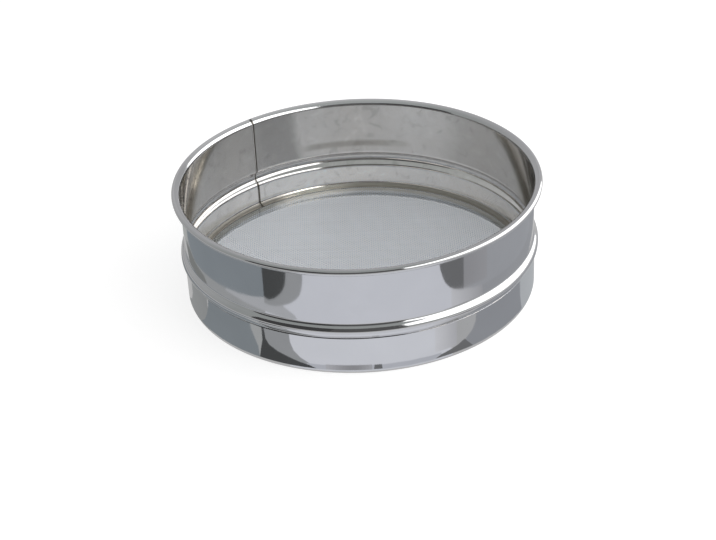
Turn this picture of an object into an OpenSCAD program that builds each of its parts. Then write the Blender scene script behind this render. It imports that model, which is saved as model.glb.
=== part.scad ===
// Tamis drum sieve: a drum hoop with a rolled rim and a swaged bead, a foot hoop pressed over its
// lower end, and a woven wire cloth stretched between the two. It stands on z = 0, centred on Z.

/* [Drum hoop] */
// Inside diameter of the drum above the bead
drum_inner_d = 200; // [120:1:300]
// Height from the table to the top of the rolled rim
drum_h = 65.8; // [55:0.1:90]
// Thickness of the drum hoop's sheet
drum_t = 0.5; // [0.4:0.05:0.7]

/* [Rolled rim] */
// Outside width of the curl on the top edge, from the drum's inside face
curl_w = 5; // [4.2:0.1:7]
// Outside height of the roll that the curl ends in
curl_h = 3.7; // [3:0.1:4.6]
// Angle that the sheet turns through in the curl
curl_turn = 318; // [270:1:330]

/* [Bead] */
// Height of the bead's crest above the table
bead_z = 26.3; // [24:0.1:32]
// How far the bead stands out from the wall above it
bead_out = 2.5; // [1.5:0.1:3.5]
// Radius of the bead's crest, to the middle of the sheet
bead_crest_r = 4.3; // [3:0.1:5.5]
// Radius of the bead's two foot fillets, to the middle of the sheet
bead_foot_r = 2.6; // [1.5:0.1:3.5]
// How far the wall below the bead is sized in from the wall above it
sized_in = 0.6; // [0.3:0.05:1.2]

/* [Lower edge of the drum] */
// Height of the underside of the turned-in lip, where the cloth lies
lip_z = 7.4; // [5:0.1:9]
// Inside radius of the lip's bend
lip_bend_r = 2.8; // [1:0.1:4]
// Flat width of the lip beyond its bend
lip_flat = 0.2; // [0.1:0.1:3]

/* [Seam] */
// Where the two ends of the strip meet, counted from +X
seam_at = 128; // [0:1:359]
// Width of the sunken weld line
seam_w = 0.35; // [0.2:0.05:0.8]
// Depth of the sunken weld line in the sheet
seam_depth = 0.25; // [0.1:0.05:0.3]

/* [Foot hoop] */
// Thickness of the foot hoop's sheet
foot_t = 0.5; // [0.4:0.05:0.8]
// Gap between the foot hoop's top edge and the bead's underside
foot_top_gap = 0.15; // [0.1:0.05:1.5]
// Inside radius of the bend at the foot's lower edge
foot_bend_r = 0.7; // [0.5:0.1:1.5]
// Flat width of the turned-in foot, the ring that the sieve stands on
foot_flat = 1.2; // [0.8:0.1:4]

/* [Wire cloth] */
// Thickness of one wire
wire_d = 0.28; // [0.2:0.01:0.35]
// Distance from one wire to the next
wire_pitch = 1.3; // [1.2:0.05:3]
// How far the cloth's border is turned up between the two hoops
border_up = 7; // [4:0.5:10]
// Width of the border under the lip, from the turn-up inwards
border_flat = 0.1; // [0.1:0.1:2]

/* [Fit] */
// Clearance between each hoop and the cloth's border
fit_gap = 0.05; // [0.02:0.01:0.1]

/* [Hidden] */
$fn = 96;

// How far a cut overruns the sheet, the least gap between crossing wires, and the angle by which
// curved pieces of a section run into their neighbours
overrun = 0.25;
touch_gap = 0.02;
join_angle = 0.02;
polished = [0.80, 0.81, 0.83];
foot_grey = [0.74, 0.75, 0.78];
cloth_grey = [0.62, 0.64, 0.67];
cloth_dark = [0.52, 0.54, 0.57];

// Drum hoop: every size below is to the middle of the sheet
half_t = drum_t / 2;
wall_r = drum_inner_d / 2 + half_t;
sized_r = wall_r - sized_in;
roll_r = (curl_h - drum_t) / 2;
lead_r = curl_w - drum_t - roll_r;
curl_c = wall_r + lead_r;
lead_z = drum_h - half_t - lead_r;
roll_z = drum_h - half_t - roll_r;
crest_z = bead_z;
crest_c = wall_r + bead_out - bead_crest_r;
lip_r = lip_bend_r + half_t;
lip_bend_z = lip_z + half_t + lip_r;
lip_bend_c = sized_r - lip_r;
lip_edge_r = lip_bend_c - lip_flat;

// Height from the crest's centre to the centre of a fillet that runs into a wall `drop` below the crest
function fillet_rise(drop) =
    sqrt(pow(bead_crest_r + bead_foot_r, 2) - pow(bead_crest_r + bead_foot_r - drop, 2));
// Angle of the crest, from straight out to where that fillet takes over
function crest_angle(drop) = atan2(fillet_rise(drop), bead_crest_r + bead_foot_r - drop);

drop_up = bead_out;
drop_low = bead_out + sized_in;
bead_top_z = crest_z + fillet_rise(drop_up);
bead_low_z = crest_z - fillet_rise(drop_low);

// Height of the bead's underside at radius r, on its lower fillet or, further out, on its crest
function bead_underside(r) =
    r < crest_c + (bead_crest_r + half_t) * cos(crest_angle(drop_low))
        ? bead_low_z + sqrt(pow(bead_foot_r - half_t, 2) - pow(r - sized_r - bead_foot_r, 2))
        : crest_z - sqrt(pow(bead_crest_r + half_t, 2) - pow(r - crest_c, 2));

// Wire cloth, two wires thick, lying under the lip
cloth_t = 2 * wire_d + touch_gap;
cloth_top = lip_z - touch_gap;
warp_z = cloth_top - wire_d / 2;
weft_z = warp_z - wire_d - touch_gap;
border_in_r = sized_r + half_t + fit_gap;
border_out_r = border_in_r + cloth_t;
border_bend_r = lip_r + half_t + fit_gap;
border_edge_r = lip_bend_c - border_flat;
cloth_r = border_edge_r - touch_gap;
wires_each_side = floor((cloth_r - wire_pitch / 2) / wire_pitch);

// Foot hoop
foot_in_r = border_out_r + fit_gap;
foot_out_r = foot_in_r + foot_t;
foot_top = bead_underside(foot_in_r) - foot_top_gap;
foot_bend_out = foot_bend_r + foot_t;
foot_edge_r = foot_out_r - foot_bend_out - foot_flat;

// Pie slice from angle a0 to a1, wide enough to cut any ring here
module pie(a0, a1, reach = 20) {
    steps = ceil((a1 - a0) / 60);
    polygon(concat([[0, 0]], [for (i = [0 : steps]) let (a = a0 + (a1 - a0) * i / steps)
        reach * [cos(a), sin(a)]]));
}

// Curved piece of a section: a ring from radius r0 to r1, kept between two angles
module bend(r0, r1, a0, a1) {
    intersection() {
        difference() {
            circle(r = r1);
            circle(r = r0);
        }
        pie(a0 - join_angle, a1 + join_angle);
    }
}

// Straight upright piece of a section, from radius r0 to r1 and height z0 to z1
module upright(r0, r1, z0, z1) {
    translate([r0, z0])
        square([r1 - r0, z1 - z0]);
}

// Section of the drum hoop's sheet between two depths, counted from its middle: minus is the
// drum's inside face and the curl's outer face, plus is the other face
module drum_section(from, to) {
    translate([curl_c, roll_z])
        bend(roll_r - to, roll_r - from, 180 - curl_turn, 90);
    translate([curl_c, lead_z])
        bend(lead_r - to, lead_r - from, 90, 180);
    upright(wall_r + from, wall_r + to, bead_top_z, lead_z);
    translate([wall_r + bead_foot_r, bead_top_z])
        bend(bead_foot_r - to, bead_foot_r - from, 180, 180 + crest_angle(drop_up));
    translate([crest_c, crest_z])
        bend(bead_crest_r + from, bead_crest_r + to, -crest_angle(drop_low), crest_angle(drop_up));
    translate([sized_r + bead_foot_r, bead_low_z])
        bend(bead_foot_r - to, bead_foot_r - from, 180 - crest_angle(drop_low), 180);
    upright(sized_r + from, sized_r + to, lip_bend_z, bead_low_z);
    translate([lip_bend_c, lip_bend_z])
        bend(lip_r + from, lip_r + to, -90, 0);
    translate([lip_edge_r, lip_bend_z - lip_r - to])
        square([lip_flat, to - from]);
}

// Rolled strip with its curled rim, bead and turned-in lip, and the sunken line of its butt seam
module drum_hoop() {
    seam_angle = seam_w / wall_r * 180 / PI;
    color(polished)
        difference() {
            rotate_extrude()
                drum_section(-half_t, half_t);
            rotate([0, 0, seam_at - seam_angle / 2])
                rotate_extrude(angle = seam_angle)
                    drum_section(-half_t - overrun, -half_t + seam_depth);
        }
}

// Plain sleeve up to the bead, turned in at its lower edge to the flat ring that it stands on
module foot_hoop() {
    color(foot_grey)
        rotate_extrude() {
            upright(foot_in_r, foot_out_r, foot_bend_out, foot_top);
            translate([foot_out_r - foot_bend_out, foot_bend_out])
                bend(foot_bend_r, foot_bend_out, -90, 0);
            translate([foot_edge_r, 0])
                square([foot_flat, foot_t]);
        }
}

// Border of the cloth: flat under the lip, round its bend and up between the two hoops
module cloth_border() {
    color(cloth_dark)
        rotate_extrude() {
            upright(border_in_r, border_out_r, lip_bend_z, lip_bend_z + border_up);
            translate([lip_bend_c, lip_bend_z])
                bend(border_bend_r, border_bend_r + cloth_t, -90, 0);
            translate([border_edge_r, lip_bend_z - border_bend_r - cloth_t])
                square([border_flat, cloth_t]);
        }
}

// One set of parallel wires that fills the cloth's circle, lying along Y at one height
module wire_set(z) {
    for (i = [-wires_each_side - 1 : wires_each_side]) {
        x = (i + 0.5) * wire_pitch;
        half_length = sqrt(pow(cloth_r, 2) - pow(abs(x) + wire_d / 2, 2));
        translate([x, half_length, z])
            rotate([90, 0, 0])
                cylinder(d = wire_d, h = 2 * half_length, $fn = 24);
    }
}

module warp_wires() {
    color(cloth_grey)
        wire_set(warp_z);
}

module weft_wires() {
    color(cloth_grey)
        rotate([0, 0, 90])
            wire_set(weft_z);
}

drum_hoop();
foot_hoop();
cloth_border();
warp_wires();
weft_wires();
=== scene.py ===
# Tamis drum sieve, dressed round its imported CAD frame. Metres, standing on z = 0, centred on the
# Z axis. The file follows the sieve as it is put together, one section for each piece.
import math

import bpy
import numpy as np
from mathutils import Euler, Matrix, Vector


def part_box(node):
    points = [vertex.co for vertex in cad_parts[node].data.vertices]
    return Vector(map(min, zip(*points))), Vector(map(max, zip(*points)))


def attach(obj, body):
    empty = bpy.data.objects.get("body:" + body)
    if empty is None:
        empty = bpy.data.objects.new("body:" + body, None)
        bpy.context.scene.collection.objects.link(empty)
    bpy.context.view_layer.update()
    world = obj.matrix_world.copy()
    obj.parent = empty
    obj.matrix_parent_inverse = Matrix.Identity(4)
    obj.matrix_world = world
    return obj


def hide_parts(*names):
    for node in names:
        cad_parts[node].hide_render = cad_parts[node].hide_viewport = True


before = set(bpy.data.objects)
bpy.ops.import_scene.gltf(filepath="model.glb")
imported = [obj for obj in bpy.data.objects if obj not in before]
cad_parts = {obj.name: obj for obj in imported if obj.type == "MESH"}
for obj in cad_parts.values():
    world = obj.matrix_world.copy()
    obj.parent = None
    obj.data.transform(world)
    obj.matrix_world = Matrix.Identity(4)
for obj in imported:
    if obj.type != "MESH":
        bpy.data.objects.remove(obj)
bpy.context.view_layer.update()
scene = bpy.context.scene

# Camera: looks down at 29 degrees from the front, a little rolled, as the sieve was photographed.
# Its focal length and the picture's width are given in pixels of the picture.
FOCAL_PIXELS = 1600
PICTURE_PIXELS = 716
camera = bpy.data.objects.new("camera", bpy.data.cameras.new("camera"))
camera.data.sensor_width = 36
camera.data.lens = camera.data.sensor_width * FOCAL_PIXELS / PICTURE_PIXELS
camera.data.clip_start = 0.02
camera.location = (0, -0.80468, 0.48707)
camera.rotation_euler = Euler((1.029483, 0.041359, -0.022813), "XYZ")
scene.collection.objects.link(camera)
scene.camera = camera

# Drum hoop: one strip of 0.5 mm stainless sheet, rolled and butt welded into a hoop. Its top edge
# is curled outwards, a bead is swaged out of its wall, and its lower edge is turned in over the
# cloth. It is bright polished all over.
SHEET = 0.0005
# Radii and heights, to the middle of the sheet
DRUM_WALL_R = 0.10025
DRUM_SIZED_R = 0.09965
RIM_Z = 0.065549
CURL_LEAD_R = 0.0029
CURL_ROLL_R = 0.00159
CURL_TURN = 318
BEAD_Z = 0.0263
BEAD_CREST_R = 0.0043
BEAD_FOOT_R = 0.0026
BEAD_OUT = 0.0025
LIP_BEND_R = 0.00305
LIP_FLAT = 0.0002
LIP_Z = 0.00765
SEAM_AT = 128
SEAM_W = 0.00035
SEAM_TURN = math.degrees(SEAM_W / DRUM_WALL_R)
STEPS_ROUND = 320
BESIDE_BEND = 0.0003
BESIDE_LIP = 0.0004


def draw_section(name, radius, height, strokes):
    """Draws a sheet's section in the plane through the axis, from one point on: a stroke is
    ("line", radius, height, steps) or ("arc", centre radius, centre height, degrees, steps)."""
    bpy.ops.object.select_all(action="DESELECT")
    bpy.ops.mesh.primitive_plane_add(size=SHEET, location=(radius, 0, height))
    piece = bpy.context.object
    piece.name = piece.data.name = name
    bpy.ops.object.transform_apply(location=True, rotation=True, scale=True)
    bpy.ops.object.mode_set(mode="EDIT")
    bpy.ops.mesh.select_mode(type="VERT")
    bpy.ops.mesh.select_all(action="SELECT")
    bpy.ops.mesh.merge(type="CENTER")
    for kind, a, b, *rest in strokes:
        if kind == "line":
            for _ in range(rest[0]):
                step = ((a - radius) / rest[0], 0, (b - height) / rest[0])
                bpy.ops.mesh.extrude_region_move(TRANSFORM_OT_translate={"value": step})
            radius, height = a, b
        else:
            turn = math.radians(rest[0])
            bpy.ops.mesh.spin(steps=rest[1], angle=turn, center=(a, 0, b), axis=(0, 1, 0))
            x, z = radius - a, height - b
            radius = a + x * math.cos(turn) - z * math.sin(turn)
            height = b + x * math.sin(turn) + z * math.cos(turn)
    bpy.ops.object.mode_set(mode="OBJECT")
    return piece


def turn_round(piece, start=0, turn=360, steps=STEPS_ROUND):
    """Spins a section round the axis from one angle on, and closes a whole turn where it ends."""
    piece.rotation_euler = (0, 0, math.radians(start))
    bpy.ops.object.transform_apply(location=True, rotation=True, scale=True)
    bpy.ops.object.mode_set(mode="EDIT")
    bpy.ops.mesh.select_all(action="SELECT")
    bpy.ops.mesh.spin(steps=steps, angle=math.radians(turn), center=(0, 0, 0), axis=(0, 0, 1))
    bpy.ops.mesh.select_all(action="SELECT")
    bpy.ops.mesh.remove_doubles(threshold=1e-6)
    bpy.ops.mesh.normals_make_consistent(inside=False)
    bpy.ops.object.mode_set(mode="OBJECT")


def thicken(piece, thickness, offset=0):
    """Gives a sheet its thickness: half of it to each side, or all to one side with offset -1."""
    wall = piece.modifiers.new("wall", "SOLIDIFY")
    wall.thickness = thickness
    wall.offset = offset
    wall.use_even_offset = True
    bpy.ops.object.modifier_apply(modifier=wall.name)
    bpy.ops.object.shade_smooth_by_angle(angle=math.radians(40))


def fillet_rise(drop):
    """Height from the bead's crest centre to the centre of the fillet that ends `drop` lower."""
    reach = BEAD_CREST_R + BEAD_FOOT_R
    return math.sqrt(reach**2 - (reach - drop) ** 2)


rise_up = fillet_rise(BEAD_OUT)
rise_low = fillet_rise(BEAD_OUT + DRUM_WALL_R - DRUM_SIZED_R)
turn_up = math.degrees(math.asin(rise_up / (BEAD_CREST_R + BEAD_FOOT_R)))
turn_low = math.degrees(math.asin(rise_low / (BEAD_CREST_R + BEAD_FOOT_R)))
bead_top = BEAD_Z + rise_up
bead_low = BEAD_Z - rise_low
lip_bend = DRUM_SIZED_R - LIP_BEND_R

# A short stroke beside each bend keeps the wall next to it flat in the shading
HOOP_STROKES = [
    ("line", lip_bend, LIP_Z, 1),
    ("arc", lip_bend, LIP_Z + LIP_BEND_R, 90, 8),
    ("line", DRUM_SIZED_R, LIP_Z + LIP_BEND_R + BESIDE_LIP, 1),
    ("line", DRUM_SIZED_R, bead_low - BESIDE_BEND, 6),
    ("line", DRUM_SIZED_R, bead_low, 1),
    ("arc", DRUM_SIZED_R + BEAD_FOOT_R, bead_low, -turn_low, 8),
    ("arc", DRUM_WALL_R + BEAD_OUT - BEAD_CREST_R, BEAD_Z, turn_low + turn_up, 24),
    ("arc", DRUM_WALL_R + BEAD_FOOT_R, bead_top, -turn_up, 8),
    ("line", DRUM_WALL_R, bead_top + BESIDE_BEND, 1),
    ("line", DRUM_WALL_R, RIM_Z - CURL_LEAD_R - BESIDE_BEND, 10),
    ("line", DRUM_WALL_R, RIM_Z - CURL_LEAD_R, 1),
    ("arc", DRUM_WALL_R + CURL_LEAD_R, RIM_Z - CURL_LEAD_R, -90, 14),
    ("arc", DRUM_WALL_R + CURL_LEAD_R, RIM_Z - CURL_ROLL_R, 90 - CURL_TURN, 26),
]
drum = draw_section("drum_hoop_sheet", lip_bend - LIP_FLAT, LIP_Z, HOOP_STROKES)
turn_round(drum, SEAM_AT + SEAM_TURN / 2, 360 - SEAM_TURN)
thicken(drum, SHEET)


def grain_group():
    """Fine lines round the sheet from its rolls and its polishing wheel, as height and a mask."""
    group = bpy.data.node_groups.new("polishing_lines", "ShaderNodeTree")
    sockets = group.interface
    sockets.new_socket("Lines per metre", in_out="INPUT", socket_type="NodeSocketFloat")
    sockets.new_socket("Height", in_out="OUTPUT", socket_type="NodeSocketFloat")
    nodes, link = group.nodes, group.links.new
    inputs, outputs = nodes.new("NodeGroupInput"), nodes.new("NodeGroupOutput")
    place = nodes.new("ShaderNodeTexCoord")
    split = nodes.new("ShaderNodeSeparateXYZ")
    link(place.outputs["Object"], split.inputs[0])
    across = nodes.new("ShaderNodeCombineXYZ")
    link(split.outputs["X"], across.inputs["X"])
    link(split.outputs["Y"], across.inputs["Y"])
    radius = nodes.new("ShaderNodeVectorMath")
    radius.operation = "LENGTH"
    link(across.outputs[0], radius.inputs[0])
    section = nodes.new("ShaderNodeCombineXYZ")
    link(radius.outputs["Value"], section.inputs["X"])
    link(split.outputs["Z"], section.inputs["Z"])
    lines = nodes.new("ShaderNodeTexNoise")
    lines.inputs["Detail"].default_value = 3
    link(section.outputs[0], lines.inputs["Vector"])
    link(inputs.outputs["Lines per metre"], lines.inputs["Scale"])
    link(lines.outputs["Fac"], outputs.inputs["Height"])
    return group


polishing_lines = grain_group()


def inside_group():
    """The drum's inner face: painted reflections round the back, smudges, a darker band over the bead,
    a painted highlight, painted shade and painted reflection lines on the bead, a burnt line at the
    seam, a painted highlight on the rim, and painted shade on a dull lip."""
    group = bpy.data.node_groups.new("inside_stains_and_painted_light", "ShaderNodeTree")
    sockets = group.interface
    sockets.new_socket("Stains and painted light", in_out="OUTPUT", socket_type="NodeSocketColor")
    sockets.new_socket("Dullness", in_out="OUTPUT", socket_type="NodeSocketFloat")
    nodes, link = group.nodes, group.links.new
    outputs = nodes.new("NodeGroupOutput")
    place = nodes.new("ShaderNodeTexCoord")
    split = nodes.new("ShaderNodeSeparateXYZ")
    link(place.outputs["Object"], split.inputs[0])
    x, y, z = split.outputs

    def combine(operation, a, b):
        node = nodes.new("ShaderNodeMath")
        node.operation = operation
        for socket, value in zip(node.inputs, (a, b)):
            if isinstance(value, (int, float)):
                socket.default_value = value
            else:
                link(value, socket)
        return node.outputs[0]

    def slope(source, start, end):
        node = nodes.new("ShaderNodeMapRange")
        node.inputs["From Min"].default_value = start
        node.inputs["From Max"].default_value = end
        link(source, node.inputs["Value"])
        return node.outputs["Result"]

    def ramp(source, stops, warmth=(1, 1, 1)):
        node = nodes.new("ShaderNodeValToRGB")
        ends = node.color_ramp.elements
        for i, (position, value) in enumerate(stops):
            stop = ends[0] if i == 0 else ends[-1] if i == len(stops) - 1 else ends.new(position)
            stop.position = position
            stop.color = (*(value * c for c in warmth), 1)
        link(source, node.inputs["Fac"])
        return node.outputs["Color"]

    def cloudy(scale, distortion):
        node = nodes.new("ShaderNodeTexNoise")
        node.inputs["Scale"].default_value = scale
        node.inputs["Detail"].default_value = 3
        node.inputs["Distortion"].default_value = distortion
        link(place.outputs["Object"], node.inputs["Vector"])
        return node.outputs["Fac"]

    def blend(kind, factor, a, b):
        node = nodes.new("ShaderNodeMix")
        node.data_type = "RGBA"
        node.blend_type = kind
        for socket, value in ((node.inputs["Factor"], factor), (node.inputs["A"], a),
                              (node.inputs["B"], b)):
            if isinstance(value, (int, float, tuple)):
                socket.default_value = value
            else:
                link(value, socket)
        return node.outputs["Result"]

    # The inner face is the one that is turned to the axis
    level = nodes.new("ShaderNodeVectorMath")
    level.operation = "MULTIPLY"
    level.inputs[1].default_value = (1, 1, 0)
    link(place.outputs["Object"], level.inputs[0])
    faces_out = nodes.new("ShaderNodeVectorMath")
    faces_out.operation = "DOT_PRODUCT"
    link(level.outputs[0], faces_out.inputs[0])
    link(place.outputs["Normal"], faces_out.inputs[1])
    inner = combine("LESS_THAN", faces_out.outputs["Value"], 0)

    # Round the back, from 0 degrees to 180 as 0 to 1, and up the drum, from the table to the rim.
    # The painted tones and stains have ragged ends, so they follow the same way round, shifted by
    # clouds.
    angle = combine("ARCTAN2", y, x)
    along = combine("DIVIDE", angle, math.pi)
    shift = combine("MULTIPLY", combine("SUBTRACT", cloudy(26, 0.4), 0.5), 0.10)
    ragged = combine("ADD", along, shift)
    up = combine("DIVIDE", z, RIM_Z)

    # Painted reflections: above the bead the wall is painted darker and lighter in turn round the
    # back, a little warm; below it, lighter round the back and darker at the sides.
    upper = ramp(ragged, ((0, 0.72), (0.15, 0.72), (0.22, 0.66), (0.27, 0.70), (0.315, 0.90),
                          (0.39, 1), (0.46, 0.92), (0.53, 0.93), (0.58, 1), (0.612, 0.97),
                          (0.63, 0.60), (0.68, 0.60), (0.72, 0.70), (1, 0.72)), (1.03, 0.99, 0.93))
    lower = ramp(ragged, ((0.15, 0.96), (0.30, 1.05), (0.45, 1.2), (0.62, 1.26), (0.78, 1.02),
                          (0.95, 0.96)), (1.03, 1, 0.95))
    tone = blend("MIX", combine("GREATER_THAN", z, bead_low), lower, (1.05, 1.03, 1, 1))

    # The bead is painted with light and shade: on the left of the back, a painted highlight below its
    # upper edge and painted shade in its hollow. To the right of the seam, painted reflection lines,
    # bright and dark, run round it, a dark one under that edge.
    bead_painted_highlight = ramp(up, ((0.384, 1), (0.397, 0.68), (0.419, 0.72), (0.430, 1.19), (0.455, 1.19),
                       (0.464, 0.95), (0.473, 0.76), (0.482, 0.72)))
    bead_painted_lines = ramp(up, ((0.325, 1), (0.34, 1.18), (0.384, 1.15), (0.390, 0.76), (0.396, 0.75),
                      (0.404, 0.88), (0.411, 0.88), (0.4165, 0.745), (0.431, 0.74), (0.437, 0.66),
                      (0.443, 0.68), (0.452, 0.82), (0.459, 0.92), (0.467, 1), (0.473, 0.97),
                      (0.482, 0.90)))
    beyond = ramp(along, ((0.55, 0), (0.60, 1), (0.92, 1), (0.99, 0)))
    tone = blend("MULTIPLY", 1.0, tone, blend("MIX", beyond, bead_painted_lines, bead_painted_highlight))
    tone = blend("MIX", combine("GREATER_THAN", z, bead_top), tone, upper)

    # Smudges, each the size of a fingertip or less
    tone = blend("MULTIPLY", 1.0, tone, ramp(cloudy(130, 1.2), ((0.30, 0.84), (0.42, 0.98),
                                                                (0.60, 1), (0.72, 1.09))))

    # A darker band lies over the bead at the back
    dark_band = combine("MULTIPLY", ramp(up, ((0.52, 0), (0.55, 1), (0.58, 1), (0.61, 0))),
                   ramp(ragged, ((0.39, 0), (0.43, 1), (0.59, 1), (0.62, 0))))
    tone = blend("MULTIPLY", dark_band, tone, (0.70, 0.69, 0.67, 1))

    # The rolled rim is painted lighter round the back, a painted highlight brightest there, and a
    # little darker at the sides
    rim = slope(z, RIM_Z - CURL_LEAD_R, RIM_Z - 0.7 * CURL_LEAD_R)
    tone = blend("MIX", rim, tone, ramp(along, ((0, 0.90), (0.14, 0.92), (0.30, 1.03), (0.45, 1.22),
                                                (0.82, 1.22), (0.94, 0.88), (1, 0.90))))

    # Beside the seam the weld has left a dark heat tint
    from_seam = combine("ABSOLUTE", combine("SUBTRACT", angle, math.radians(SEAM_AT)), 0)
    burnt = slope(from_seam, math.radians(0.6), math.radians(0.25))
    tone = blend("MULTIPLY", burnt, tone, (0.16, 0.14, 0.115, 1))

    # The lip is painted darker and a little warm, a painted shade in the bend over the cloth, and
    # dull, but for one stretch to the right of the seam
    lip = slope(z, LIP_Z + 0.78 * LIP_BEND_R, LIP_Z + 0.45 * LIP_BEND_R)
    tone = blend("MULTIPLY", lip, tone, ramp(ragged, ((0.50, 0.55), (0.55, 1), (0.65, 1),
                                                      (0.68, 0.36), (0.85, 0.36), (0.95, 0.55)),
                                             (1, 0.98, 0.92)))
    rough = combine("MULTIPLY", lip, ramp(ragged, ((0.50, 0.30), (0.55, 0.02), (0.65, 0.02),
                                                   (0.68, 0.30))))
    link(blend("MIX", inner, (1, 1, 1, 1), tone), outputs.inputs["Stains and painted light"])
    link(combine("MULTIPLY", inner, combine("ADD", rough, 0.04)), outputs.inputs["Dullness"])
    return group


inside_stains_and_painted_light = inside_group()

BRIGHT = (0.80, 0.80, 0.81)
POLISH = 0.055


def polished_steel(name):
    """Bright polished stainless sheet: fine lines round it, broad handling smears in the shine, and
    the slight waves that rolling leaves in thin sheet."""
    steel = bpy.data.materials.new(name)
    steel.use_nodes = True
    nodes, link = steel.node_tree.nodes, steel.node_tree.links.new
    shader = nodes["Principled BSDF"]
    shader.inputs["Metallic"].default_value = 1
    place = nodes.new("ShaderNodeTexCoord")
    lines = nodes.new("ShaderNodeGroup")
    lines.node_tree = polishing_lines
    lines.inputs["Lines per metre"].default_value = 2600

    smears = nodes.new("ShaderNodeTexNoise")
    smears.inputs["Scale"].default_value = 34
    smears.inputs["Detail"].default_value = 4
    smears.inputs["Distortion"].default_value = 0.6
    link(place.outputs["Object"], smears.inputs["Vector"])

    tone = nodes.new("ShaderNodeValToRGB")
    tone.color_ramp.elements[0].position = 0.3
    tone.color_ramp.elements[1].position = 0.7
    tone.color_ramp.elements[0].color = [*(0.95 * c for c in BRIGHT), 1]
    tone.color_ramp.elements[1].color = [*BRIGHT, 1]
    link(smears.outputs["Fac"], tone.inputs["Fac"])

    shine = nodes.new("ShaderNodeMapRange")
    shine.inputs["From Min"].default_value = 0.35
    shine.inputs["From Max"].default_value = 0.75
    shine.inputs["To Min"].default_value = POLISH
    shine.inputs["To Max"].default_value = POLISH * 2
    link(smears.outputs["Fac"], shine.inputs["Value"])

    # The face that is turned to the axis is stained, painted with light and shade, and duller
    inside = nodes.new("ShaderNodeGroup")
    inside.node_tree = inside_stains_and_painted_light
    stains_and_painted_light = nodes.new("ShaderNodeMix")
    stains_and_painted_light.data_type = "RGBA"
    stains_and_painted_light.blend_type = "MULTIPLY"
    stains_and_painted_light.inputs["Factor"].default_value = 1
    link(tone.outputs["Color"], stains_and_painted_light.inputs["A"])
    link(inside.outputs["Stains and painted light"], stains_and_painted_light.inputs["B"])
    link(stains_and_painted_light.outputs["Result"], shader.inputs["Base Color"])
    duller = nodes.new("ShaderNodeMath")
    link(shine.outputs["Result"], duller.inputs[0])
    link(inside.outputs["Dullness"], duller.inputs[1])
    link(duller.outputs[0], shader.inputs["Roughness"])

    waves = nodes.new("ShaderNodeTexNoise")
    waves.inputs["Scale"].default_value = 38
    waves.inputs["Detail"].default_value = 1
    link(place.outputs["Object"], waves.inputs["Vector"])
    broad = nodes.new("ShaderNodeBump")
    broad.inputs["Strength"].default_value = 1
    broad.inputs["Distance"].default_value = 0.00006
    link(waves.outputs["Fac"], broad.inputs["Height"])
    fine = nodes.new("ShaderNodeBump")
    fine.inputs["Strength"].default_value = 1
    fine.inputs["Distance"].default_value = 0.0000012
    link(lines.outputs["Height"], fine.inputs["Height"])
    link(broad.outputs["Normal"], fine.inputs["Normal"])
    link(fine.outputs["Normal"], shader.inputs["Normal"])
    return steel


drum.data.materials.append(polished_steel("drum_steel"))
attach(drum, "root")
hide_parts("drum_hoop")

# Seam: the strip's two ends, butted and welded from the outside. Inside, the weld stays sunk below
# the sheet's face and keeps a brown heat tint, so it shows as a thin dark line.
weld = draw_section("drum_hoop_weld", lip_bend - LIP_FLAT, LIP_Z, HOOP_STROKES)
turn_round(weld, SEAM_AT - SEAM_TURN / 2, SEAM_TURN, 1)
thicken(weld, SHEET / 2, -1)


def weld_steel():
    """Oxidised weld metal: brown, dull and uneven along the seam."""
    steel = bpy.data.materials.new("weld_steel")
    steel.use_nodes = True
    nodes, link = steel.node_tree.nodes, steel.node_tree.links.new
    shader = nodes["Principled BSDF"]
    shader.inputs["Metallic"].default_value = 1
    shader.inputs["Roughness"].default_value = 0.45
    place = nodes.new("ShaderNodeTexCoord")
    beads = nodes.new("ShaderNodeTexNoise")
    beads.inputs["Scale"].default_value = 900
    link(place.outputs["Object"], beads.inputs["Vector"])
    tone = nodes.new("ShaderNodeValToRGB")
    tone.color_ramp.elements[0].position = 0.35
    tone.color_ramp.elements[1].position = 0.7
    tone.color_ramp.elements[0].color = (0.03, 0.025, 0.02, 1)
    tone.color_ramp.elements[1].color = (0.09, 0.07, 0.055, 1)
    link(beads.outputs["Fac"], tone.inputs["Fac"])
    link(tone.outputs["Color"], shader.inputs["Base Color"])
    relief = nodes.new("ShaderNodeBump")
    relief.inputs["Distance"].default_value = 0.00004
    link(beads.outputs["Fac"], relief.inputs["Height"])
    link(relief.outputs["Normal"], shader.inputs["Normal"])
    return steel


weld.data.materials.append(weld_steel())
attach(weld, "root")
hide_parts("drum_hoop")

# Warp wires: drawn stainless wire, 0.28 mm thick, one every 1.3 mm from front to back. Each is
# crimped over and under the wires that cross it, as the loom leaves it, and the cloth is stretched
# flat under the drum's lip.
WIRE = 0.00028
PITCH = 0.0013
CRIMP = 0.000145
CLOTH_Z = 0.00709
CLOTH_R = 0.0964
WIRES = 148
SQUARE_WIRE_R = 0.59 * WIRE
DARK_RING_FROM_R = 0.0918
DARK_RING_TO_R = 0.0938


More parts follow.
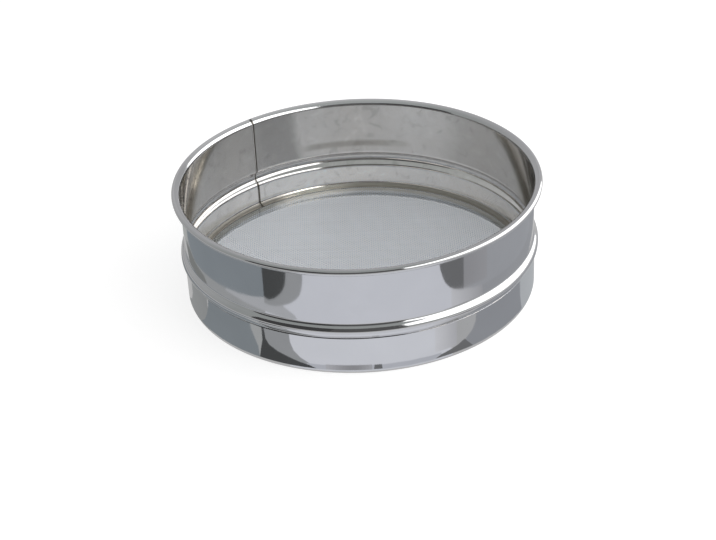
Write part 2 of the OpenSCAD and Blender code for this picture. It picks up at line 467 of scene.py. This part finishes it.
def weave_wires(name):
    """One set of crimped wires along Y that fills the cloth's circle. The wires start at the front
    left, and every second one is shifted by one crossing. Each has four sides, shaded round."""
    bpy.ops.object.select_all(action="DESELECT")
    flat = 0.22 * PITCH
    x, y = -(WIRES / 2 - 0.5) * PITCH, -(WIRES / 2 + 1.5) * PITCH
    bpy.ops.mesh.primitive_circle_add(vertices=4, radius=SQUARE_WIRE_R,
                                      location=(x, y - flat, CLOTH_Z - CRIMP),
                                      rotation=(math.pi / 2, math.pi / 4, 0))
    wires = bpy.context.object
    wires.name = wires.data.name = name
    bpy.ops.object.transform_apply(location=True, rotation=True, scale=True)
    bpy.ops.object.mode_set(mode="EDIT")
    bpy.ops.mesh.select_all(action="SELECT")
    for along, up in ((2 * flat, 0), (PITCH - 2 * flat, 2 * CRIMP), (2 * flat, 0),
                      (PITCH - 2 * flat, -2 * CRIMP)):
        bpy.ops.mesh.extrude_region_move(TRANSFORM_OT_translate={"value": (0, along, up)})
    bpy.ops.object.mode_set(mode="OBJECT")
    repeat(wires, WIRES // 2 + 2, (0, 2 * PITCH, 0))
    repeat(wires, 2, (PITCH, PITCH, 0))
    repeat(wires, WIRES // 2, (2 * PITCH, 0, 0))

    bpy.ops.object.mode_set(mode="EDIT")
    bpy.ops.mesh.select_mode(type="FACE")
    bpy.ops.mesh.select_all(action="DESELECT")
    bpy.ops.object.mode_set(mode="OBJECT")
    centres = np.empty(3 * len(wires.data.polygons))
    wires.data.polygons.foreach_get("center", centres)
    centres = centres.reshape(-1, 3)
    wires.data.polygons.foreach_set("select", np.hypot(centres[:, 0], centres[:, 1]) > CLOTH_R)
    bpy.ops.object.mode_set(mode="EDIT")
    bpy.ops.mesh.delete(type="FACE")
    bpy.ops.mesh.select_all(action="SELECT")
    bpy.ops.mesh.fill_holes(sides=4)
    bpy.ops.mesh.select_all(action="SELECT")
    bpy.ops.mesh.normals_make_consistent(inside=False)
    bpy.ops.object.mode_set(mode="OBJECT")
    bpy.ops.object.shade_smooth()
    return wires


def repeat(piece, count, step):
    """Repeats a piece in a row and joins the copies where their ends meet."""
    row = piece.modifiers.new("row", "ARRAY")
    row.count = count
    row.use_relative_offset = False
    row.use_constant_offset = True
    row.constant_offset_displace = step
    row.use_merge_vertices = True
    row.merge_threshold = 1e-6
    bpy.ops.object.modifier_apply(modifier=row.name)


def part_off(piece, axis, name):
    """Parts a set of wires in two along its middle, so that each piece stays a light mesh."""
    bpy.ops.object.select_all(action="DESELECT")
    piece.select_set(True)
    bpy.context.view_layer.objects.active = piece
    bpy.ops.object.mode_set(mode="EDIT")
    bpy.ops.mesh.select_all(action="DESELECT")
    bpy.ops.object.mode_set(mode="OBJECT")
    centres = np.empty(3 * len(piece.data.polygons))
    piece.data.polygons.foreach_get("center", centres)
    piece.data.polygons.foreach_set("select", centres.reshape(-1, 3)[:, axis] > 0)
    bpy.ops.object.mode_set(mode="EDIT")
    bpy.ops.mesh.separate(type="SELECTED")
    bpy.ops.object.mode_set(mode="OBJECT")
    other = next(o for o in bpy.context.selected_objects if o != piece)
    other.name = other.data.name = name
    return other


def wire_steel(name, across):
    """Drawn stainless wire: bright but not polished, each wire a shade of its own."""
    steel = bpy.data.materials.new(name)
    steel.use_nodes = True
    nodes, link = steel.node_tree.nodes, steel.node_tree.links.new
    shader = nodes["Principled BSDF"]
    shader.inputs["Metallic"].default_value = 1
    place = nodes.new("ShaderNodeTexCoord")
    stretch = nodes.new("ShaderNodeMapping")
    stretch.inputs["Scale"].default_value = [900 if i == across else 14 for i in range(3)]
    link(place.outputs["Object"], stretch.inputs["Vector"])
    shades = nodes.new("ShaderNodeTexNoise")
    shades.inputs["Scale"].default_value = 1
    shades.inputs["Detail"].default_value = 2
    link(stretch.outputs["Vector"], shades.inputs["Vector"])
    tone = nodes.new("ShaderNodeValToRGB")
    tone.color_ramp.elements[0].position = 0.3
    tone.color_ramp.elements[1].position = 0.7
    tone.color_ramp.elements[0].color = (0.69, 0.735, 0.795, 1)
    tone.color_ramp.elements[1].color = (0.78, 0.83, 0.90, 1)
    link(shades.outputs["Fac"], tone.inputs["Fac"])

    # The wires are darker and a little warmer in a ring beside the lip
    reach = nodes.new("ShaderNodeVectorMath")
    reach.operation = "LENGTH"
    link(place.outputs["Object"], reach.inputs[0])
    ring = nodes.new("ShaderNodeMapRange")
    ring.inputs["From Min"].default_value = DARK_RING_FROM_R
    ring.inputs["From Max"].default_value = DARK_RING_TO_R
    link(reach.outputs["Value"], ring.inputs["Value"])
    darker_ring = nodes.new("ShaderNodeMix")
    darker_ring.data_type = "RGBA"
    darker_ring.blend_type = "MULTIPLY"
    darker_ring.inputs["B"].default_value = (0.70, 0.68, 0.62, 1)
    link(ring.outputs["Result"], darker_ring.inputs["Factor"])
    link(tone.outputs["Color"], darker_ring.inputs["A"])
    link(darker_ring.outputs["Result"], shader.inputs["Base Color"])
    shine = nodes.new("ShaderNodeMapRange")
    shine.inputs["To Min"].default_value = 0.42
    shine.inputs["To Max"].default_value = 0.58
    link(shades.outputs["Fac"], shine.inputs["Value"])
    link(shine.outputs["Result"], shader.inputs["Roughness"])
    return steel


warp = weave_wires("warp_wires_left")
warp.data.materials.append(wire_steel("warp_wire_steel", 0))

# Weft wires: the same wire, woven across the warp from left to right. A quarter turn brings each
# crimp over where the warp's goes under.
bpy.ops.object.select_all(action="DESELECT")
warp.select_set(True)
bpy.context.view_layer.objects.active = warp
bpy.ops.object.duplicate(linked=False)
weft = bpy.context.object
weft.name = weft.data.name = "weft_wires_front"
weft.rotation_euler = (0, 0, math.pi / 2)
bpy.ops.object.transform_apply(location=True, rotation=True, scale=True)
weft.data.materials.clear()
weft.data.materials.append(wire_steel("weft_wire_steel", 1))

for piece in (warp, part_off(warp, 0, "warp_wires_right")):
    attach(piece, "root")
    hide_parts("warp_wires")
for piece in (weft, part_off(weft, 1, "weft_wires_back")):
    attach(piece, "root")
    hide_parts("weft_wires")

# Border of the cloth: its outermost strip, bent up round the drum's lip and clamped between the
# two hoops, where only its bend shows from below.
BORDER = 0.00058
BORDER_GAP = 0.00005
BORDER_FLAT = 0.0001
BORDER_WAVES_ROUND = 480
BORDER_BEND_R = LIP_BEND_R + SHEET / 2 + BORDER_GAP + BORDER / 2
BORDER_Z = LIP_Z + LIP_BEND_R - BORDER_BEND_R
border = draw_section("cloth_border_strip", lip_bend - BORDER_FLAT, BORDER_Z, [
    ("line", lip_bend, BORDER_Z, 1),
    ("arc", lip_bend, BORDER_Z + BORDER_BEND_R, 90, 8),
    ("line", lip_bend + BORDER_BEND_R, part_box("cloth_border")[1][2], 4),
])
turn_round(border)
thicken(border, BORDER)


def woven_strip():
    """The weave of the clamped border: wires round the hoop and wires up it, bright on their crests,
    with painted shade in the hollows between them.
    """
    steel = bpy.data.materials.new("border_wire_steel")
    steel.use_nodes = True
    nodes, link = steel.node_tree.nodes, steel.node_tree.links.new
    shader = nodes["Principled BSDF"]
    shader.inputs["Metallic"].default_value = 1
    shader.inputs["Roughness"].default_value = 0.35
    place = nodes.new("ShaderNodeTexCoord")
    split = nodes.new("ShaderNodeSeparateXYZ")
    link(place.outputs["Object"], split.inputs[0])
    angle = nodes.new("ShaderNodeMath")
    angle.operation = "ARCTAN2"
    link(split.outputs["Y"], angle.inputs[0])
    link(split.outputs["X"], angle.inputs[1])
    heights = []
    for source, scale in ((angle.outputs[0], BORDER_WAVES_ROUND),
                          (split.outputs["Z"], 2 * math.pi / PITCH)):
        turns = nodes.new("ShaderNodeMath")
        turns.operation = "MULTIPLY"
        turns.inputs[1].default_value = scale
        link(source, turns.inputs[0])
        wave = nodes.new("ShaderNodeMath")
        wave.operation = "SINE"
        link(turns.outputs[0], wave.inputs[0])
        heights.append(wave.outputs[0])
    top = nodes.new("ShaderNodeMath")
    top.operation = "MAXIMUM"
    link(heights[0], top.inputs[0])
    link(heights[1], top.inputs[1])
    tone = nodes.new("ShaderNodeValToRGB")
    tone.color_ramp.elements[0].color = (0.10, 0.10, 0.11, 1)
    tone.color_ramp.elements[1].color = (0.62, 0.64, 0.66, 1)
    link(top.outputs[0], tone.inputs["Fac"])
    link(tone.outputs["Color"], shader.inputs["Base Color"])
    relief = nodes.new("ShaderNodeBump")
    relief.inputs["Distance"].default_value = 0.0001
    link(top.outputs[0], relief.inputs["Height"])
    link(relief.outputs["Normal"], shader.inputs["Normal"])
    return steel


border.data.materials.append(woven_strip())
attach(border, "root")
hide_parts("cloth_border")

# Foot hoop: a second strip of the same sheet, pressed over the cloth and the drum's lower end up to
# the bead. Its lower edge is turned in to the ring that the sieve stands on.
FOOT_R = 0.10083
FOOT_EDGE_R = 0.09868
FOOT_Z = SHEET / 2
FOOT_BEND_R = 0.00095
BESIDE_RING = 0.0002
FOOT_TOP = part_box("foot_hoop")[1][2]
foot = draw_section("foot_hoop_sheet", FOOT_EDGE_R, FOOT_Z, [
    ("line", FOOT_R - FOOT_BEND_R - BESIDE_RING, FOOT_Z, 3),
    ("line", FOOT_R - FOOT_BEND_R, FOOT_Z, 1),
    ("arc", FOOT_R - FOOT_BEND_R, FOOT_Z + FOOT_BEND_R, 90, 10),
    ("line", FOOT_R, FOOT_Z + FOOT_BEND_R + BESIDE_BEND, 1),
    ("line", FOOT_R, FOOT_TOP - BESIDE_BEND, 8),
    ("line", FOOT_R, FOOT_TOP, 1),
])
turn_round(foot)
thicken(foot, SHEET)
foot.data.materials.append(polished_steel("foot_steel"))
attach(foot, "root")
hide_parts("foot_hoop")

# Floor: plain white paper, which glows so that the camera sees it white, with the sieve's soft shadow
# on it. Inside the foot ring it glows less, a painted shade under the sieve seen through the cloth.
# The metal sees it glow grey, brighter under the sieve and darker to the left: a painted reflection.
INSIDE_FOOT = 0.0965
OUTSIDE_FOOT = 0.1005
bpy.ops.object.select_all(action="DESELECT")
bpy.ops.mesh.primitive_circle_add(vertices=64, radius=6, fill_type="NGON", location=(0, 0, 0))
floor = bpy.context.object
floor.name = floor.data.name = "floor"
paper = bpy.data.materials.new("white_floor")
paper.use_nodes = True
nodes, link = paper.node_tree.nodes, paper.node_tree.links.new
nodes.remove(nodes["Principled BSDF"])
matt = nodes.new("ShaderNodeBsdfDiffuse")
matt.inputs["Color"].default_value = (0.5, 0.5, 0.5, 1)
place = nodes.new("ShaderNodeTexCoord")
reach = nodes.new("ShaderNodeVectorMath")
reach.operation = "LENGTH"
link(place.outputs["Object"], reach.inputs[0])
under = nodes.new("ShaderNodeMapRange")
under.inputs["From Min"].default_value = INSIDE_FOOT
under.inputs["From Max"].default_value = OUTSIDE_FOOT
under.inputs["To Min"].default_value = 0.39
under.inputs["To Max"].default_value = 0.67
link(reach.outputs["Value"], under.inputs["Value"])
lift = nodes.new("ShaderNodeEmission")
link(under.outputs["Result"], lift.inputs["Strength"])
both = nodes.new("ShaderNodeAddShader")
link(matt.outputs[0], both.inputs[0])
link(lift.outputs[0], both.inputs[1])
path = nodes.new("ShaderNodeLightPath")
choose = nodes.new("ShaderNodeMixShader")
link(path.outputs["Is Camera Ray"], choose.inputs["Fac"])
link(matt.outputs[0], choose.inputs[1])
link(both.outputs[0], choose.inputs[2])
aside = nodes.new("ShaderNodeSeparateXYZ")
link(place.outputs["Object"], aside.inputs[0])
sideways = nodes.new("ShaderNodeMapRange")
sideways.inputs["From Min"].default_value = -0.8
sideways.inputs["From Max"].default_value = 0.1
sideways.inputs["To Min"].default_value = 0.28
sideways.inputs["To Max"].default_value = 0.56
link(aside.outputs["X"], sideways.inputs["Value"])
beneath = nodes.new("ShaderNodeMapRange")
beneath.inputs["From Min"].default_value = INSIDE_FOOT
beneath.inputs["From Max"].default_value = OUTSIDE_FOOT
beneath.inputs["To Min"].default_value = 0.72
link(reach.outputs["Value"], beneath.inputs["Value"])
link(sideways.outputs["Result"], beneath.inputs["To Max"])
shown = nodes.new("ShaderNodeEmission")
link(beneath.outputs["Result"], shown.inputs["Strength"])
in_metal = nodes.new("ShaderNodeMixShader")
link(path.outputs["Is Glossy Ray"], in_metal.inputs["Fac"])
link(choose.outputs[0], in_metal.inputs[1])
link(shown.outputs[0], in_metal.inputs[2])
link(in_metal.outputs[0], nodes["Material Output"].inputs["Surface"])
floor.data.materials.append(paper)

# Boards: glowing cards laid round the sieve and stood behind the camera, which only the metal sees,
# painted reflections. They draw the grey, pale and dark panels in the polished walls. Their outlines
# are given as they show in a wall: degrees from +X, and millimetres above the table.
UPPER_WALL = DRUM_WALL_R + SHEET / 2
LOWER_WALL = FOOT_R + SHEET / 2
EDGE_STEPS = 6
LAYER = 0.00002


def shown_at(wall, angle, height):
    """The place on the floor that the camera sees in a wall of this radius, at this angle and
    height."""
    turn = math.radians(angle)
    out = np.array([math.cos(turn), math.sin(turn), 0])
    spot = wall * out + [0, 0, height / 1000]
    look = spot - np.array(camera.location)
    ray = look - 2 * (out @ look) * out
    return spot - ray * spot[2] / ray[2]


def in_wall(wall, *corners):
    """Floor points along an outline that shows in the wall with these corners."""
    points = []
    for (angle, height), (next_angle, next_height) in zip(corners, corners[1:] + corners[:1]):
        for step in range(EDGE_STEPS):
            part = step / EDGE_STEPS
            points.append(shown_at(wall, angle + part * (next_angle - angle),
                                   height + part * (next_height - height)))
    return points


def board(name, points, tone, layer=1):
    """A flat card with these corners that glows evenly, a painted reflection. A higher layer lies over
    a lower one.
    """
    bpy.ops.object.select_all(action="DESELECT")
    bpy.ops.mesh.primitive_circle_add(vertices=len(points), radius=1, fill_type="NGON")
    card = bpy.context.object
    card.name = card.data.name = name
    for corner, point in zip(card.data.vertices, points):
        corner.co = (point[0], point[1], point[2] + LAYER * layer)
    paint = bpy.data.materials.new(name)
    paint.use_nodes = True
    glow = paint.node_tree.nodes.new("ShaderNodeEmission")
    glow.inputs["Color"].default_value = (*tone, 1)
    paint.node_tree.links.new(glow.outputs[0], paint.node_tree.nodes["Material Output"].inputs[0])
    card.data.materials.append(paint)
    card.visible_camera = False
    card.visible_diffuse = False
    card.visible_shadow = False
    card.visible_transmission = False


PALE = (0.62, 0.635, 0.685)
SILVER = (0.44, 0.45, 0.47)
MIST = (0.34, 0.35, 0.355)
SLATE = (0.235, 0.262, 0.283)
GREY = (0.355, 0.367, 0.39)
FRINGE = (0.32, 0.33, 0.34)
SHADE = (0.163, 0.166, 0.172)
BLACK = (0.070, 0.073, 0.074)
FADE_BOARDS = 14


def fade(name, wall, low, high, angles, tones, layer):
    """A row of narrow boards between these angles, whose greys run through these tones."""
    width = (angles[1] - angles[0]) / FADE_BOARDS
    for i in range(FADE_BOARDS):
        left = angles[0] + i * width
        grey = np.interp(i / (FADE_BOARDS - 1), np.linspace(0, 1, len(tones)), tones)
        board(f"{name}_{i}", in_wall(wall, (left, low), (left + width, low), (left + width, high),
                                     (left, high)), (grey, 1.01 * grey, 1.06 * grey), layer)


# Further out, in the wall above the bead
board("pale_board", in_wall(UPPER_WALL, (-121, 31), (-57, 31), (-57, 66), (-121, 66)), PALE)
board("mist_board", in_wall(UPPER_WALL, (-160, 31), (-121, 31), (-121, 66), (-170, 66), (-166, 45)),
      MIST)
board("silver_board_left", in_wall(UPPER_WALL, (-137, 36.5), (-128, 34), (-118, 32), (-110, 31),
                                   (-111, 34), (-114, 38), (-118, 45), (-134, 45)), SILVER, 2)
board("silver_board_right", in_wall(UPPER_WALL, (-57, 31), (-22, 31), (-14, 40), (-10, 52), (-12, 66),
                                    (-57, 66)), (0.335, 0.345, 0.365))
board("mist_board_low", in_wall(UPPER_WALL, (-162, 31), (-147, 31), (-149, 36), (-155, 39),
                                (-160, 44), (-164, 45)), (0.215, 0.222, 0.218), 2)
board("mist_board_high", in_wall(UPPER_WALL, (-172, 44), (-161.5, 46), (-161.5, 66), (-172, 66)),
      (0.41, 0.42, 0.415), 2)
board("slate_board_left", in_wall(UPPER_WALL, (-121, 41.5), (-121, 66), (-161, 66), (-161, 50),
                                  (-159, 44), (-155, 39.5), (-149, 38.2), (-140, 38),
                                  (-131, 38.6), (-125, 40)), SLATE, 3)
board("slate_board_right", in_wall(UPPER_WALL, (-57.5, 66), (-57.5, 40.3), (-54, 38.6), (-50, 37.6),
                                   (-44, 37.3), (-36, 37.6), (-29, 39), (-24, 41.5), (-21, 45),
                                   (-20, 50), (-20, 66)), GREY, 3)
board("fringe_board", in_wall(UPPER_WALL, (-121, 66), (-121, 38), (-119, 37.3), (-117, 37.8),
                              (-114.5, 39.2), (-112, 41.3), (-110.2, 44), (-109, 47),
                              (-108.2, 51), (-107.7, 56), (-107.5, 66)), FRINGE, 4)
board("dark_board_left", in_wall(UPPER_WALL, (-121, 66), (-121, 42.3), (-120.2, 41), (-119.2, 40.8),
                                 (-117.5, 42.2), (-115.8, 44.8), (-114.3, 48.5), (-113.4, 53),
                                 (-113, 58), (-113, 66)), BLACK, 5)
board("dark_board_right", in_wall(UPPER_WALL, (-57.5, 66), (-57.5, 40.3), (-59, 40.8), (-60.8, 42),
                                  (-62.5, 44), (-64, 47.5), (-65, 52), (-65.8, 57), (-66.3, 66)),
      SHADE, 5)
fade("grey_fade_board", UPPER_WALL, 40.5, 66, (-57.5, -48), (0.305, 0.315, 0.33, 0.342), 4)
fade("fade_board", UPPER_WALL, 31, 44, (-62, -50), (0.58, 0.54, 0.50, 0.46, 0.42, 0.38), 2)

# Close in, in the foot hoop
board("pale_strip", in_wall(LOWER_WALL, (-113.5, 1.5), (-62, 1.5), (-62, 26), (-113.5, 26)),
      (0.66, 0.675, 0.72))
board("silver_strip", in_wall(LOWER_WALL, (-62.5, 6), (-62.5, 26), (-52.8, 26), (-53.2, 17),
                              (-54.5, 12.5), (-57.3, 8.3), (-60, 6.5)), (0.44, 0.445, 0.45), 2)
board("mist_strip_left", in_wall(LOWER_WALL, (-170, 1.5), (-148, 1.5), (-148, 26), (-161, 26),
                                 (-161, 14), (-163, 8)), (0.30, 0.31, 0.31))
board("mist_strip_right", in_wall(LOWER_WALL, (-31, 1.5), (-10, 1.5), (-14, 26), (-31, 26)),
      (0.46, 0.48, 0.50))
board("slate_strip_left", in_wall(LOWER_WALL, (-127.5, 26), (-126.8, 19), (-125.7, 14), (-124.5, 9),
                                  (-124.2, 2.2), (-154, 2.2), (-151, 6), (-148.8, 12),
                                  (-147.5, 18), (-147, 26)), (0.23, 0.255, 0.272), 2)
fade("fade_strip", LOWER_WALL, 6.5, 26, (-68, -60.5), (0.63, 0.60, 0.56, 0.51, 0.47), 3)
board("slate_strip_right", in_wall(LOWER_WALL, (-53, 26), (-53.2, 17), (-54.5, 12.5), (-57.2, 8.6),
                                   (-57.2, 2.2), (-28, 2.2), (-29.5, 12), (-30, 26)),
      (0.298, 0.31, 0.332), 2)
board("silver_wedge", in_wall(LOWER_WALL, (-127.5, 26), (-126.8, 19), (-125.7, 14), (-124.5, 9),
                              (-124.2, 2.2), (-122.5, 2.2), (-122.5, 26)), (0.39, 0.40, 0.40), 3)
board("fringe_strip", in_wall(LOWER_WALL, (-122.5, 26), (-122.5, 2.2), (-107, 2.2), (-107, 5),
                              (-110, 8.3), (-112, 12), (-113, 17), (-113.3, 26)), FRINGE, 4)
board("shade_strip", in_wall(LOWER_WALL, (-108, 5.2), (-66, 5.2), (-66, 2.2), (-108, 2.2)),
      (0.49, 0.505, 0.55), 4)
fade("shade_patch", LOWER_WALL, 2.2, 5.4, (-102, -88), (0.45, 0.40, 0.34, 0.30, 0.29, 0.34, 0.40), 5)
board("dark_spot", in_wall(LOWER_WALL, (-87.2, 5.2), (-85, 5.2), (-84.8, 2.3), (-87.4, 2.3)),
      SHADE, 6)
board("dark_wedge_left", in_wall(LOWER_WALL, (-122.7, 26), (-122.1, 26), (-121.5, 15.5), (-120.3, 12),
                                 (-117.5, 9.3), (-114, 7.2), (-110.5, 5.3), (-107, 3.8),
                                 (-105, 2.3), (-124.2, 2.2), (-123.5, 8), (-122.7, 14)), BLACK, 7)
board("dark_wedge_right", in_wall(LOWER_WALL, (-68, 2.3), (-66, 4), (-63, 5.2), (-60, 6.6),
                                  (-58.3, 8.2), (-57.4, 8.6), (-56.8, 7), (-55.6, 4.7), (-54.3, 2.2)),
      (0.17, 0.172, 0.176), 7)

# Two dark cloths behind the camera: dim glowing boards, painted reflections
board("black_cloth", [(-2.9, -1.2, 0), (-0.4, -1.2, 0), (-0.4, -1.2, 1.1), (-1.2, -1.2, 1.4),
                      (-2.9, -1.2, 1.7)], (0.055, 0.055, 0.055))
board("grey_cloth", [(-0.4, -1.2, 0), (0.56, -1.2, 0), (0.56, -1.2, 1.15), (-0.4, -1.2, 1.1)],
      (0.09, 0.09, 0.09))

# Light: one long soft box to the right of the sieve, tilted a little. It draws the white lines in
# the rim and the bead.


def soft_box(name, width, height, place, aim, strength, lean):
    """A rectangular soft box that faces the point `aim`, rolled by `lean` degrees. Its strength is the
    brightness of its face, where 1 is white."""
    lamp = bpy.data.objects.new(name, bpy.data.lights.new(name, "AREA"))
    lamp.data.shape = "RECTANGLE"
    lamp.data.size, lamp.data.size_y = width, height
    lamp.data.energy = strength * math.pi * width * height
    lamp.location = place
    away = lamp.location - Vector(aim)
    lamp.rotation_euler = away.to_track_quat("Z", "Y").to_euler()
    lamp.rotation_euler.rotate_axis("Z", math.radians(lean))
    lamp.visible_camera = False
    scene.collection.objects.link(lamp)


soft_box("right_box", 2.15, 0.84, (0.62, -0.3, 0.55), (0, -0.3, 0.55), 1.35, -20)

# Room: plain pale walls for the metal, lighter behind the sieve, even light on everything else, and
# white for the camera.
world = bpy.data.worlds.new("studio")
world.use_nodes = True
scene.world = world
nodes, link = world.node_tree.nodes, world.node_tree.links.new
room = nodes["Background"]
place = nodes.new("ShaderNodeTexCoord")
split = nodes.new("ShaderNodeSeparateXYZ")
link(place.outputs["Generated"], split.inputs[0])
walls = nodes.new("ShaderNodeValToRGB")
walls.color_ramp.elements[0].position = 0.45
walls.color_ramp.elements[1].position = 1
walls.color_ramp.elements[0].color = (0.31, 0.325, 0.32, 1)
walls.color_ramp.elements[1].color = (0.47, 0.47, 0.48, 1)
depth = nodes.new("ShaderNodeMapRange")
depth.inputs["From Min"].default_value = -1
link(split.outputs["Y"], depth.inputs["Value"])
link(depth.outputs["Result"], walls.inputs["Fac"])
link(walls.outputs["Color"], room.inputs["Color"])
fill = nodes.new("ShaderNodeBackground")
fill.inputs["Color"].default_value = (0.7, 0.7, 0.7, 1)
white = nodes.new("ShaderNodeBackground")
path = nodes.new("ShaderNodeLightPath")
white.inputs["Color"].default_value = (1, 1, 1, 1)
by_metal = nodes.new("ShaderNodeMixShader")
link(path.outputs["Is Glossy Ray"], by_metal.inputs["Fac"])
link(fill.outputs[0], by_metal.inputs[1])
link(room.outputs[0], by_metal.inputs[2])
choose = nodes.new("ShaderNodeMixShader")
link(path.outputs["Is Camera Ray"], choose.inputs["Fac"])
link(by_metal.outputs[0], choose.inputs[1])
link(white.outputs[0], choose.inputs[2])
link(choose.outputs[0], nodes["World Output"].inputs["Surface"])

scene.view_settings.view_transform = "Standard"

bpy.context.view_layer.update()
